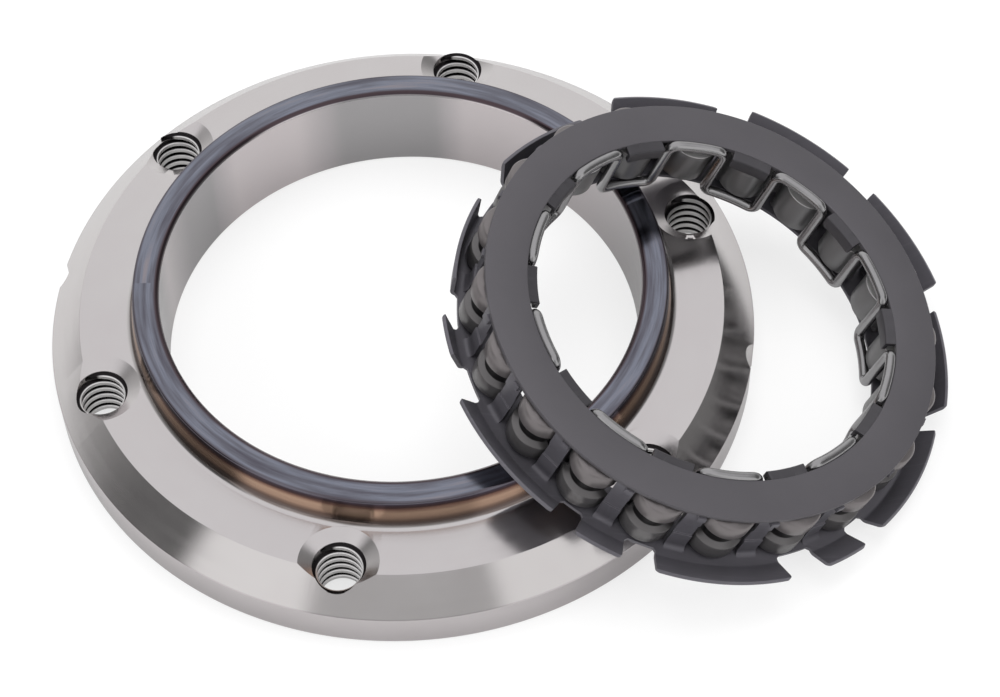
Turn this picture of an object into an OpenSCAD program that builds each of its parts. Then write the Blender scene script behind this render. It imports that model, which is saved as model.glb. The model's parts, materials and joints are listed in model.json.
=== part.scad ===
// Starter clutch: an outer race with a bolt circle, and a sprag cage that leans on it.
// Units are millimetres, +Z is up, and the origin is on the race's axis at its bottom face.
// The cage's own pieces are drawn in the cage's frame: its origin is on the cage's axis
// at the underside of the drag flange, and +Z points to the cover ring.

/* [Outer race] */
// Outer diameter of the race's rim
race_od = 110; // [109:0.5:114]
// Diameter of the ground bore that the sprags grip
bore_d = 74.3; // [73.8:0.1:74.6]
// Height of the race from its bottom face to the top of the lip
race_h = 16.45; // [15.5:0.1:17.5]
// Height of the upright rim
rim_h = 6.24; // [5:0.1:7.5]
// Height of the flat top face that the bolt holes are drilled from
face_h = 11.18; // [10.6:0.1:12]
// Width of the raised lip around the bore
lip_w = 4.1; // [3.6:0.05:4.4]
// How far the lip's wall leans out from its top to its foot
lip_lean = 0.75; // [0.4:0.05:1]
// Radius of the fillet at the lip's foot
lip_fillet_r = 1.5; // [0.8:0.1:2]
// Chamfer on the bore's two mouths
mouth_chamfer = 0.5; // [0.3:0.1:0.8]
// Chamfer on the rim's edges
rim_chamfer = 0.4; // [0.2:0.1:0.6]

/* [Bolt circle] */
// Number of threaded bolt holes
bolt_count = 6; // [3:1:8]
// Distance from the bolt circle in to the race's outer diameter
bolt_inset = 6.5; // [6:0.25:7]
// Major diameter of the thread
bolt_d = 8; // [6:0.5:8.5]
// Diameter of the countersink where it meets the flat top face
sink_d = 12; // [10:0.5:12.5]
// Bearing of the first bolt hole
bolt_phase = 19.1; // [0:0.1:59]
// Width of the two round timing notches where they meet the rim
notch_w = 4.7; // [3:0.1:6]
// Depth of the two timing notches in the rim
notch_depth = 1.1; // [0.6:0.1:1.5]
// Bearing of the first timing notch, the other is half a turn from it
notch_phase = 170; // [160:1:180]

/* [Sprag cage] */
// Number of sprags and windows, an even number
sprag_count = 20; // [20:2:20]
// Bearing of the first sprag in the cage's own frame
sprag_phase = 20.3; // [0:0.1:36]
// Height of the cage from the flange's underside to the cover ring's top
cage_h = 11.6; // [11.4:0.1:13]
// Thickness of the cage's sheet steel
sheet_t = 0.6; // [0.5:0.05:0.7]
// Gap between the cage's upright wall and the bore that it fits
wall_gap = 1.65; // [1.5:0.05:1.8]
// Width of each crossbar between two windows
crossbar_w = 2.9; // [2.4:0.1:3]
// How far the drag flange reaches in from the wall
flange_in_w = 4.7; // [4:0.1:5]
// How far the drag flange is whole outside the wall, before its tabs start
flange_root_w = 1.3; // [1.1:0.1:1.5]
// Distance from the wall out to the fold across each drag tab
fold_w = 2.5; // [2.2:0.1:3]
// How far the drag tabs reach out from the fold
tab_reach = 3.6; // [3:0.1:4]
// How far the two tabs that stand nearly upright reach out from the fold
steep_reach = 1.4; // [1:0.1:2]
// How far the tabs next to the floor rise from the fold to the tip
low_rise = 2.3; // [1.8:0.1:3]
// How far the other tabs rise from the fold to the tip
high_rise = 4.6; // [3.5:0.1:5]
// Corner radius of the tabs
tab_corner_r = 0.9; // [0.5:0.1:1]
// Angle that a wide tab covers
wide_tab = 24.6; // [18:0.2:25]
// Angle that a broad tab beside a narrow one covers
broad_tab = 29.6; // [26:0.2:30]
// Angle that a narrow tab covers
narrow_tab = 10.6; // [8:0.2:12]

/* [Cover ring] */
// Thickness of the cover ring
ring_t = 0.8; // [0.6:0.05:1]
// Gap between the cover ring's inner edge and the spring
ring_gap = 0.125; // [0.1:0.025:0.3]
// How far the cover ring laps over the wall's outer face
ring_lap = 0.3; // [0.1:0.05:0.6]
// Depth of the bent lugs at the cover ring's inner edge
lug_drop = 2.5; // [1.8:0.1:2.7]
// Width of each bent lug
lug_w = 7; // [5:0.2:7.2]

/* [Sprags] */
// Gap between the sprags and the race's bore when they are free
sprag_gap = 0.25; // [0.2:0.05:0.4]
// Height of a sprag's section, from its outer face to its inner face
sprag_span = 8.4; // [8.2:0.05:8.6]
// Distance from the outer face in to the line that a sprag rocks about
pivot_depth = 4.1; // [4:0.05:4.2]
// Radius of the sprag's outer working face
outer_face_r = 4; // [3.8:0.05:4.05]
// Radius of the sprag's inner working face
inner_face_r = 4.1; // [3.8:0.05:4.2]
// Sideways offset of the inner face's centre, which makes the sprag a cam
cam_offset = 0.8; // [0.4:0.05:1]
// Lowest point of a sprag above the flange's underside
sprag_low = 1; // [0.9:0.05:1.2]
// Gap between the sprags' tops and the cover ring
sprag_top_gap = 0.45; // [0.4:0.05:0.6]
// Height of a sprag's lower land, below its relief groove
lower_land = 3.2; // [2.8:0.1:3.6]
// Height of a sprag's upper land, above its relief groove
upper_land = 2.95; // [2.6:0.05:3.3]
// Depth of the relief groove in a sprag
groove_depth = 1; // [0.5:0.1:1.2]

/* [Spring] */
// Diameter of the spring's wire
wire_d = 1.15; // [1:0.05:1.2]
// How far the wire's centre lies outside the sprags' inner faces
spring_inset = 0.1; // [0:0.05:0.15]
// Radius of the spring's rounded corners
spring_corner_r = 1.3; // [1:0.1:1.6]
// Height of the runs beside the drag flange
run_low = 1.15; // [1.1:0.05:1.2]
// How far the runs beside the cover ring lie below its top
run_below_top = 0.4; // [0.3:0.05:0.5]

/* [Pose of the cage] */
// Tilt of the cage, which leans on the race's lip
cage_tilt = 18.45; // [18.4:0.05:20]
// Bearing that the cage leans towards
cage_lean = -15.7; // [-17:0.1:-15]
// Gap between the flange's lowest edge and the floor
rest_gap = 0.35; // [0.3:0.05:0.6]
// Distance from the lip to the flange's inner edge, level with the lip's top
lip_gap = 2.51; // [1.8:0.01:3]
// How far the cage's axis lies beside the line that it leans along
cage_aside = 1.17; // [0:0.01:2]

/* [Hidden] */

race_r = race_od / 2;
bore_r = bore_d / 2;
lip_r = bore_r + lip_w;
bolt_pcd = race_od - 2 * bolt_inset;
lip_foot_r = lip_r + lip_lean;
face_edge_r = race_r - (face_h - rim_h);
pitch = 360 / sprag_count;
wall_out_r = bore_r - wall_gap;
wall_r = wall_out_r - sheet_t;
flange_in_r = wall_r - flange_in_w;
flange_root_r = wall_out_r + flange_root_w;
fold_r = wall_out_r + fold_w;
tab_r = fold_r + tab_reach;
steep_tab_r = fold_r + steep_reach;
outer_reach = bore_r - sprag_gap;
inner_reach = outer_reach - sprag_span;
pivot_r = outer_reach - pivot_depth;
spring_r = inner_reach + spring_inset;
sprag_high = cage_h - ring_t - sprag_top_gap;
groove_low = sprag_low + lower_land;
groove_high = sprag_high - upper_land;
ring_in_r = spring_r + wire_d / 2 + ring_gap;
ring_out_r = wall_out_r + ring_lap;

// The cage's fold meets the floor at one side, and its flange passes the lip's top on both sides.
// The lip's top is level with the flange's underside at seat_run from the fold.
seat_run = (race_h - rest_gap) / tan(cage_tilt);
seat_chord = sqrt(pow(flange_in_r, 2) - pow(seat_run / cos(cage_tilt) - fold_r, 2)) - lip_gap;
cage_along = seat_run - fold_r * cos(cage_tilt) + sqrt(pow(lip_r, 2) - pow(seat_chord, 2));
cage_x = cage_along * cos(cage_lean) - cage_aside * sin(cage_lean);
cage_y = cage_along * sin(cage_lean) + cage_aside * cos(cage_lean);
cage_z = fold_r * sin(cage_tilt) + rest_gap;
cage_colour = "#4b4a50";
round_fn = 256;
overcut = 1;

// Each drag tab in the cage's own frame: bearing, angle that it covers, radius and rise of its tip
tabs = [[95.5, wide_tab, tab_r, high_rise], [63.4, wide_tab, tab_r, high_rise],
        [31.4, wide_tab, tab_r, high_rise], [0.3, wide_tab, tab_r, high_rise],
        [329.6, broad_tab, tab_r, low_rise], [301.8, narrow_tab, tab_r, low_rise],
        [274, broad_tab, tab_r, low_rise], [246.4, narrow_tab, tab_r, low_rise],
        [220.2, broad_tab, tab_r, high_rise], [192.6, narrow_tab, tab_r, high_rise],
        [166.3, broad_tab, steep_tab_r, high_rise], [129.4, wide_tab, steep_tab_r, high_rise]];

// A point at radius r and bearing a
function polar(r, a) = [r * cos(a), r * sin(a)];

// Points of an arc about centre c, from bearing a0 to a1 in n steps
function arc(c, r, a0, a1, n) = [for (i = [0 : n]) c + polar(r, a0 + (a1 - a0) * i / n)];

// The cage as it lies in the photograph, leaning on the race
module in_cage() {
    translate([cage_x, cage_y, cage_z])
        rotate([0, 0, cage_lean])
            rotate([0, cage_tilt, 0])
                rotate([0, 0, -cage_lean])
                    children();
}

// A flat wedge of half angle h that reaches past radius r
module wedge(r, h) {
    polygon([[0, 0], polar(r / cos(h), -h), [r, 0], polar(r / cos(h), h)]);
}

// Turned section of the race: bore, lip, fillet, flat face, long chamfer and rim
module race_section() {
    fillet_centre = [lip_foot_r + lip_fillet_r, face_h + lip_fillet_r];
    polygon(concat(
        [[bore_r + mouth_chamfer, 0], [race_r - rim_chamfer, 0], [race_r, rim_chamfer],
         [race_r, rim_h], [face_edge_r, face_h]],
        arc(fillet_centre, lip_fillet_r, 270, 180, 8),
        [[lip_r, race_h - mouth_chamfer / 2], [lip_r - mouth_chamfer / 2, race_h],
         [bore_r + mouth_chamfer, race_h], [bore_r, race_h - mouth_chamfer],
         [bore_r, mouth_chamfer]]));
}

// One bolt hole with its countersink
module bolt_hole() {
    sink_depth = (sink_d - bolt_d) / 2;
    translate([0, 0, -overcut])
        cylinder(d = bolt_d, h = race_h + 2 * overcut, $fn = 64);
    translate([0, 0, face_h - sink_depth])
        cylinder(d1 = bolt_d, d2 = sink_d, h = sink_depth, $fn = 64);
    translate([0, 0, face_h - 0.01])
        cylinder(d = sink_d, h = race_h - face_h + overcut, $fn = 64);
}

// A timing notch: a shallow scoop in the rim, as wide as notch_w where it meets the rim
module notch() {
    notch_r = (pow(notch_w / 2, 2) + pow(notch_depth, 2)) / (2 * notch_depth);
    translate([race_r - notch_depth + notch_r, 0, -overcut])
        cylinder(r = notch_r, h = face_h + overcut, $fn = 64);
}

module outer_race() {
    color("#c8c4c4")
        difference() {
            rotate_extrude($fn = round_fn)
                race_section();
            for (k = [0 : bolt_count - 1])
                rotate(bolt_phase + k * 360 / bolt_count)
                    translate([bolt_pcd / 2, 0, 0])
                        bolt_hole();
            for (side = [0, 180])
                rotate(notch_phase + side)
                    notch();
        }
}

// Sheet section of a drag tab: flat root, fold, and an outer band bent up to its tip
module tab_section(tip_r, rise) {
    bend = atan2(rise, tip_r - fold_r);
    polygon([[flange_root_r - overcut, 0], [fold_r, 0], [tip_r, rise],
             [tip_r - sheet_t * sin(bend), rise + sheet_t * cos(bend)],
             [fold_r - sheet_t * tan(bend / 2), sheet_t], [flange_root_r - overcut, sheet_t]]);
}

// Plan of a tab with rounded outer corners, centred on the X axis
module tab_plan(half, tip_r) {
    corner_at = tip_r - tab_corner_r;
    inset = asin(tab_corner_r / corner_at);
    wedge(corner_at, half);
    wedge(tip_r + overcut, half - inset);
    for (side = [-1, 1])
        rotate(side * (half - inset))
            translate([corner_at, 0])
                circle(tab_corner_r, $fn = 32);
}

// One drag tab that covers the given angle
module drag_tab(angle, tip_r, rise) {
    intersection() {
        rotate([0, 0, -angle])
            rotate_extrude(angle = 2 * angle, $fn = round_fn)
                tab_section(tip_r, rise);
        translate([0, 0, -overcut])
            linear_extrude(cage_h)
                tab_plan(angle / 2, tip_r);
    }
}

// Turned section of the drawn cage: upright wall, its bend and the flange
module shell_section() {
    bend_r = 1;
    bend_centre = [wall_out_r + bend_r, sheet_t + bend_r];
    polygon(concat(
        [[flange_in_r, 0], [flange_root_r, 0], [flange_root_r, sheet_t]],
        arc(bend_centre, bend_r, 270, 180, 6),
        [[wall_out_r, cage_h - ring_t], [wall_r, cage_h - ring_t],
         [wall_r, sheet_t], [flange_in_r, sheet_t]]));
}

// The windows that the sprags stand in
module windows() {
    wall_mid = wall_r + sheet_t / 2;
    window_w = 2 * wall_mid * sin(pitch / 2 - asin(crossbar_w / 2 / wall_mid));
    window_top = sprag_high + 0.15;
    for (k = [0 : sprag_count - 1])
        rotate(sprag_phase + k * pitch)
            translate([wall_r - 0.5, -window_w / 2, sheet_t])
                cube([flange_root_r + overcut - wall_r, window_w, window_top - sheet_t]);
}

// The relief groove across the crossbars, level with the one in the sprags
module crossbar_groove() {
    groove_floor = wall_out_r - sheet_t * 0.45;
    translate([0, 0, groove_low])
        difference() {
            cylinder(r = wall_out_r + overcut, h = groove_high - groove_low, $fn = round_fn);
            translate([0, 0, -overcut])
                cylinder(r = groove_floor, h = groove_high - groove_low + 2 * overcut, $fn = round_fn);
        }
}

// A coined ear at each crossbar's head, where the cover ring is crimped on
module crimp_ears() {
    ear_w = crossbar_w * 0.42;
    ear_h = 0.9;
    for (k = [0 : sprag_count - 1])
        rotate(sprag_phase + (k + 0.5) * pitch)
            translate([wall_out_r - 0.2, 0.1, cage_h - ring_t - ear_h])
                cube([0.8, ear_w, ear_h]);
}

module cage_shell() {
    color(cage_colour)
        in_cage() {
            difference() {
                rotate_extrude($fn = round_fn)
                    shell_section();
                windows();
                crossbar_groove();
            }
            crimp_ears();
            for (t = tabs)
                rotate(t[0])
                    drag_tab(t[1], t[2], t[3]);
        }
}

// Turned section of the cover ring with broken edges
module ring_section() {
    edge = 0.15;
    under = cage_h - ring_t;
    polygon([[ring_in_r, under], [ring_out_r, under], [ring_out_r, cage_h - edge],
             [ring_out_r - edge, cage_h], [ring_in_r + edge, cage_h], [ring_in_r, cage_h - edge]]);
}

// Sheet section of a lug that is bent in and down from the ring's inner edge
module lug_section() {
    lug_t = ring_t * 0.75;
    root = 0.4;
    inset = (ring_t - lug_t) / 2;
    low = cage_h - lug_drop;
    polygon([[ring_in_r + root, cage_h - inset], [ring_in_r - 0.15, cage_h - inset],
             [ring_in_r - 0.65, cage_h - ring_t], [ring_in_r - 1, low],
             [ring_in_r - 1 + lug_t, low], [ring_in_r - 0.1, cage_h - ring_t + inset],
             [ring_in_r + root, cage_h - ring_t + inset]]);
}

// Face of a lug with rounded lower corners, drawn across X and along Y as height
module lug_face() {
    corner = 0.8;
    low = cage_h - lug_drop;
    translate([-lug_w / 2, low + corner])
        square([lug_w, lug_drop]);
    translate([-lug_w / 2 + corner, low])
        square([lug_w - 2 * corner, lug_drop]);
    for (side = [-1, 1])
        translate([side * (lug_w / 2 - corner), low + corner])
            circle(corner, $fn = 32);
}

module cover_ring() {
    lug_count = sprag_count / 2;
    color(cage_colour)
        in_cage() {
            rotate_extrude($fn = round_fn)
                ring_section();
            for (k = [0 : lug_count - 1])
                rotate(sprag_phase + (2 * k + 1) * pitch)
                    intersection() {
                        rotate([0, 0, -pitch])
                            rotate_extrude(angle = 2 * pitch, $fn = round_fn)
                                lug_section();
                        rotate([90, 0, 90])
                            linear_extrude(ring_out_r)
                                lug_face();
                    }
        }
}

// Points of one wave of the spring: bearing as arc length, and height
function spring_wave() = let (
        half = spring_r * pitch * PI / 360,
        far = 3 * half,
        top = cage_h - run_below_top,
        c = spring_corner_r,
        n = 4)
    concat(
        arc([-half + c, top - c], c, 180, 90, n),
        [[-half / 3, top], [half / 3, top]],
        arc([half - c, top - c], c, 90, 0, n),
        arc([half + c, run_low + c], c, 180, 270, n),
        [[2 * half - half / 3, run_low], [2 * half + half / 3, run_low]],
        arc([far - c, run_low + c], c, 270, 360, n));

// Wraps a point of the wave on the spring's cylinder, turned by a bearing
function wrapped(p, turn) = let (a = turn + p[0] / spring_r * 180 / PI)
    [spring_r * cos(a), spring_r * sin(a), p[1]];

// Sweeps a round wire along a closed path that lies on an upright cylinder
module wire_loop(path, r) {
    sides = 8;
    count = len(path);
    rings = [for (i = [0 : count - 1]) let (
                 p = path[i],
                 ahead = path[(i + 1) % count] - path[(i + count - 1) % count],
                 t = ahead / norm(ahead),
                 out = [p[0], p[1], 0] / norm([p[0], p[1]]),
                 across = cross(t, out))
             for (j = [0 : sides - 1]) let (a = 360 * j / sides)
                 p + r * (cos(a) * out + sin(a) * across)];
    faces = [for (i = [0 : count - 1]) let (next = (i + 1) % count)
             for (j = [0 : sides - 1]) let (k = (j + 1) % sides)
             for (f = [[i * sides + j, next * sides + k, i * sides + k],
                       [i * sides + j, next * sides + j, next * sides + k]])
                 f];
    polyhedron(points = rings, faces = faces, convexity = 10);
}

module energizing_spring() {
    waves = sprag_count / 2;
    path = [for (k = [0 : waves - 1])
            for (p = spring_wave())
                wrapped(p, sprag_phase + 2 * k * pitch)];
    color("#a3a2a6")
        in_cage()
            wire_loop(path, wire_d / 2);
}

// Half of a sprag's section: the part of a disc on one side of the pivot
module face_lobe(centre, r, side) {
    intersection() {
        translate(centre)
            circle(r, $fn = 128);
        translate([pivot_r + side * r, 0])
            square([2 * r, 4 * r], center = true);
    }
}

// Section of a sprag on the X axis: two working faces with a waist between them
module sprag_section(groove = 0) {
    waist_r = 1.7;
    waist_at = 5.1;
    difference() {
        union() {
            face_lobe([outer_reach - outer_face_r, 0.1], outer_face_r - groove, 1);
            face_lobe([inner_reach + inner_face_r, -cam_offset], inner_face_r, -1);
        }
        for (side = [-1, 1])
            translate([pivot_r - 0.2, side * waist_at - cam_offset / 2])
                circle(waist_r, $fn = 64);
    }
}

// One sprag: two lands with a relief groove between them, and a shorter inner head
module sprag(number) {
    head_low = run_low + wire_d / 2 + 0.3;
    head_high = cage_h - lug_drop - 0.5;
    step_r = inner_reach + 2.6;
    step_w = 3 * inner_face_r;
    color("#77726f")
        in_cage()
            rotate(sprag_phase + (number - 1) * pitch)
                difference() {
                    union() {
                        translate([0, 0, sprag_low])
                            linear_extrude(groove_low - sprag_low)
                                sprag_section();
                        translate([0, 0, groove_low])
                            linear_extrude(groove_high - groove_low)
                                sprag_section(groove_depth);
                        translate([0, 0, groove_high])
                            linear_extrude(sprag_high - groove_high)
                                sprag_section();
                    }
                    translate([inner_reach - overcut, -step_w / 2, head_high])
                        cube([step_r - inner_reach + overcut, step_w, cage_h]);
                    translate([inner_reach - overcut, -step_w / 2, head_low - cage_h])
                        cube([step_r - inner_reach + overcut, step_w, cage_h]);
                }
}

outer_race();
cage_shell();
cover_ring();
energizing_spring();
sprag(1);  // sprag_01
sprag(2);  // sprag_02
sprag(3);  // sprag_03
sprag(4);  // sprag_04
sprag(5);  // sprag_05
sprag(6);  // sprag_06
sprag(7);  // sprag_07
sprag(8);  // sprag_08
sprag(9);  // sprag_09
sprag(10);  // sprag_10
sprag(11);  // sprag_11
sprag(12);  // sprag_12
sprag(13);  // sprag_13
sprag(14);  // sprag_14
sprag(15);  // sprag_15
sprag(16);  // sprag_16
sprag(17);  // sprag_17
sprag(18);  // sprag_18
sprag(19);  // sprag_19
sprag(20);  // sprag_20
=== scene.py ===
import json
import math

import bmesh
import bpy
from mathutils import Matrix, Vector


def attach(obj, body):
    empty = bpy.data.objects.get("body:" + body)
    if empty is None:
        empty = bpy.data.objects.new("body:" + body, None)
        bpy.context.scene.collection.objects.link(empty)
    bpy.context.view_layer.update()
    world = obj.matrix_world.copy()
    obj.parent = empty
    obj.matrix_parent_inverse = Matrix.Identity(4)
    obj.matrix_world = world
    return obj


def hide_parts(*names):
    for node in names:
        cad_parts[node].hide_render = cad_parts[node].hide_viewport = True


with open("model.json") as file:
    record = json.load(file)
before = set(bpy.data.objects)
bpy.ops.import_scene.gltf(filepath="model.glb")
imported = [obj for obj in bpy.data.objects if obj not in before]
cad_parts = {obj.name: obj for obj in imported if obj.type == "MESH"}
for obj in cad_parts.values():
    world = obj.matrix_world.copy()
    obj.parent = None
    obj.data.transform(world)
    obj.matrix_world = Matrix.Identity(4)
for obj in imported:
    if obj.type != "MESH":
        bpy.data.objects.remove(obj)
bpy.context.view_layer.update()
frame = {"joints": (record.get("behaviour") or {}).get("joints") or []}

# Outer race: a ring of bearing steel, turned all over, hardened round its bore and then ground there.
# Six threaded holes take the screws that hold it to the flywheel, and its lip is left blue and brown
# by the hardening. It lies flat, with its bottom face at height zero and its axis up.
MM = 0.001
RIM_R = 55
RIM_H = 6.24
RIM_CHAMFER = 0.4
FACE_R = 50.06
FACE_H = 11.18
LIP_FOOT_R = 42.02
LIP_R = 41.25
LIP_H = 16.45
BORE_R = 37.15
MOUTH_CHAMFER = 0.5
RACE_CORNERS = [(BORE_R + MOUTH_CHAMFER, 0, 0.1), (RIM_R - RIM_CHAMFER, 0, 0.15), (RIM_R, RIM_CHAMFER, 0.2),
                (RIM_R, RIM_H, 0.2), (FACE_R, FACE_H, 0.15), (LIP_FOOT_R, FACE_H, 1.0), (LIP_R, LIP_H, 0.4),
                (BORE_R + 0.55, LIP_H, 0.15), (BORE_R, LIP_H - MOUTH_CHAMFER, 0.12),
                (BORE_R, MOUTH_CHAMFER, 0.1)]
RACE_STEPS = 384
BOLT_COUNT = 6
BOLT_CIRCLE_R = 48.5
BOLT_PHASE = math.radians(19.1)
THREAD_R = 4.0
SINK_R = 6.0
SINK_DEPTH = 1.15
SINK_LOW = FACE_H - SINK_DEPTH
HOLE_STEPS = 64
NOTCH_DEPTH = 1.1
NOTCH_WIDTH = 4.7
NOTCH_TOP = 8
NOTCH_PHASE = math.radians(170)
NOTCH_STEPS = 48
CUT_FROM = -1
CUT_TO = 18


def softened(corners, steps=4):
    """Points of a closed outline whose corners, each (x, y, radius), are rounded off."""
    points = []
    for k, (x, y, radius) in enumerate(corners):
        corner = Vector((x, y))
        before = (Vector(corners[k - 1][:2]) - corner).normalized()
        after = (Vector(corners[(k + 1) % len(corners)][:2]) - corner).normalized()
        half = before.angle(after) / 2
        centre = corner + (before + after).normalized() * radius / math.sin(half)
        start = corner + before * radius / math.tan(half) - centre
        turn = start.angle_signed(corner + after * radius / math.tan(half) - centre)
        for i in range(steps + 1):
            spin = -turn * i / steps
            points.append((centre.x + start.x * math.cos(spin) - start.y * math.sin(spin),
                           centre.y + start.x * math.sin(spin) + start.y * math.cos(spin)))
    return points


def new_piece(name, points, faces, crease=32):
    """A smooth-shaded mesh from points in millimetres, sharp where it turns past the crease angle."""
    mesh = bpy.data.meshes.new(name)
    mesh.from_pydata([Vector(p) * MM for p in points], [], faces)
    piece = bpy.data.objects.new(name, mesh)
    bpy.context.scene.collection.objects.link(piece)
    tidy(piece, crease)
    return piece


def tidy(piece, crease=32):
    """Merges points that coincide, turns every face outward and marks the sharp edges."""
    shape = bmesh.new()
    shape.from_mesh(piece.data)
    bmesh.ops.remove_doubles(shape, verts=shape.verts, dist=0.002 * MM)
    bmesh.ops.recalc_face_normals(shape, faces=shape.faces)
    shape.to_mesh(piece.data)
    shape.free()
    piece.data.shade_smooth()
    piece.data.set_sharp_from_angle(angle=math.radians(crease))


def turned(section, steps):
    """Points and faces of a closed section, given as radius and height, turned once round the Z axis."""
    return ringed([section] * steps)


def ringed(sections):
    """Points and faces of a ring whose closed sections stand at even steps round the Z axis."""
    steps, count = len(sections), len(sections[0])
    points = []
    for i, section in enumerate(sections):
        bearing = 2 * math.pi * i / steps
        points += [(r * math.cos(bearing), r * math.sin(bearing), z) for r, z in section]
    faces = []
    for i in range(steps):
        here = i * count
        there = (i + 1) % steps * count
        for j in range(count):
            k = (j + 1) % count
            faces.append((here + j, there + j, there + k, here + k))
    return points, faces


def upright(outline, low, high):
    """Points and faces of a plain prism over a closed outline."""
    count = len(outline)
    points = [(x, y, low) for x, y in outline] + [(x, y, high) for x, y in outline]
    faces = [tuple(reversed(range(count))), tuple(range(count, 2 * count))]
    faces += [(k, (k + 1) % count, count + (k + 1) % count, count + k) for k in range(count)]
    return points, faces


def together(parts):
    """Joins several lists of points and faces into one."""
    points, faces = [], []
    for part_points, part_faces in parts:
        start = len(points)
        points += part_points
        faces += [tuple(start + v for v in face) for face in part_faces]
    return points, faces


def moved(part, matrix):
    """The same points and faces, put in place by a matrix."""
    points, faces = part
    return [tuple(matrix @ Vector(p)) for p in points], faces


def machined(piece, tool, operation):
    """Cuts, joins or trims a piece with a tool mesh, which is then thrown away."""
    cut = piece.modifiers.new("cut", "BOOLEAN")
    cut.operation = operation
    cut.solver = "EXACT"
    cut.object = tool
    bake_modifiers(piece)
    bpy.data.objects.remove(tool)


def bake_modifiers(piece):
    """Replaces a piece's mesh by what its modifiers make of it."""
    bpy.context.view_layer.update()
    result = bpy.data.meshes.new_from_object(piece.evaluated_get(bpy.context.evaluated_depsgraph_get()))
    piece.modifiers.clear()
    piece.data = result


def broken_edges(piece, width, crease):
    """Bevels a piece's sharp edges, as a tumbled or deburred part has them."""
    bevel = piece.modifiers.new("edge", "BEVEL")
    bevel.width = width * MM
    bevel.segments = 2
    bevel.limit_method = "ANGLE"
    bevel.angle_limit = math.radians(crease)
    bevel.use_clamp_overlap = True
    bake_modifiers(piece)
    tidy(piece, crease + 14)


def polar(r, bearing):
    """A point at a radius and a bearing in radians."""
    return (r * math.cos(bearing), r * math.sin(bearing))


def bolt_places():
    """The bolt holes' centres."""
    bearings = [BOLT_PHASE + 2 * math.pi * k / BOLT_COUNT for k in range(BOLT_COUNT)]
    return [(*polar(BOLT_CIRCLE_R, bearing), 0) for bearing in bearings]


race = new_piece("race_body", *turned(softened(RACE_CORNERS), RACE_STEPS))
hole_section = [(0, CUT_FROM), (THREAD_R, CUT_FROM), (THREAD_R, SINK_LOW), (SINK_R, FACE_H),
                (SINK_R, CUT_TO), (0, CUT_TO)]
hole_tools = [moved(turned(hole_section, HOLE_STEPS), Matrix.Translation(place)) for place in bolt_places()]
machined(race, new_piece("hole_tool", *together(hole_tools)), "DIFFERENCE")
notch_r = (NOTCH_WIDTH ** 2 / 4 + NOTCH_DEPTH ** 2) / (2 * NOTCH_DEPTH)
notch_section = [(0, CUT_FROM), (notch_r, CUT_FROM), (notch_r, NOTCH_TOP), (0, NOTCH_TOP)]
notch_tools = []
for side in (0, math.pi):
    place = (*polar(RIM_R - NOTCH_DEPTH + notch_r, NOTCH_PHASE + side), 0)
    notch_tools.append(moved(turned(notch_section, NOTCH_STEPS), Matrix.Translation(place)))
machined(race, new_piece("notch_tool", *together(notch_tools)), "DIFFERENCE")
tidy(race, 24)


def add(tree, kind, inputs=None, **settings):
    """Adds a shader node. An input is set to a value, or linked where the value is a socket."""
    node = tree.nodes.new("ShaderNode" + kind)
    for key, value in settings.items():
        setattr(node, key, value)
    for key, value in (inputs or {}).items():
        if isinstance(value, bpy.types.NodeSocket):
            tree.links.new(value, node.inputs[key])
        else:
            node.inputs[key].default_value = value
    return node


def reckon(tree, operation, *values):
    """A Math node's result, for sums between numbers and sockets."""
    return add(tree, "Math", dict(enumerate(values)), operation=operation).outputs[0]


def step_up(tree, value, low, high):
    """Rises smoothly from 0 at low to 1 at high."""
    ramp = add(tree, "MapRange", {0: value, 1: low, 2: high}, interpolation_type="SMOOTHSTEP")
    return ramp.outputs[0]


def mixed_colour(tree, factor, first, second):
    """Goes from the first colour to the second as the factor goes from 0 to 1."""
    mix = add(tree, "Mix", data_type="RGBA")
    for socket, value in ((mix.inputs[0], factor), (mix.inputs[6], first), (mix.inputs[7], second)):
        if isinstance(value, bpy.types.NodeSocket):
            tree.links.new(value, socket)
        else:
            socket.default_value = value if isinstance(value, float) else (*value, 1)
    return mix.outputs[2]


def node_group(name, inputs, outputs):
    """A new node group with named inputs, each with its default, and named outputs."""
    tree = bpy.data.node_groups.new(name, "ShaderNodeTree")
    for label, value in inputs.items():
        socket = tree.interface.new_socket(label, in_out="INPUT", socket_type="NodeSocketFloat")
        socket.default_value = value
    for label, kind in outputs.items():
        tree.interface.new_socket(label, in_out="OUTPUT", socket_type="NodeSocket" + kind)
    return tree, tree.nodes.new("NodeGroupInput"), tree.nodes.new("NodeGroupOutput")


def use_group(tree, group, **inputs):
    """Places a node group in a material with its own values."""
    node = add(tree, "Group")
    node.node_tree = group
    for label, value in inputs.items():
        node.inputs[label.replace("_", " ")].default_value = value
    return node


def new_finish(name):
    """A material with its Principled shader, ready for its nodes."""
    finish = bpy.data.materials.new(name)
    finish.use_nodes = True
    shader = finish.node_tree.nodes["Principled BSDF"]
    return finish, finish.node_tree, shader


def coloured(tree, value, stops):
    """A colour that follows a value from 0 to 1 through the given stops."""
    ramp = add(tree, "ValToRGB", {0: value})
    elements = ramp.color_ramp.elements
    while len(elements) < len(stops):
        elements.new(0.5)
    for element, (position, colour) in zip(elements, stops):
        element.position = position
        element.color = (*colour, 1)
    return ramp.outputs[0]


STEEL_DARK, STEEL_LIGHT = (0.62, 0.585, 0.585), (0.68, 0.66, 0.655)
# The rim's side is the same turned steel as the face, with darker tones as painted shade
RIM_SHADE_DARK, RIM_SHADE_LIGHT = (0.52, 0.485, 0.492), (0.60, 0.567, 0.57)
BORE_DULL, BORE_BRIGHT = (0.39, 0.382, 0.387), (0.67, 0.617, 0.625)
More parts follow.
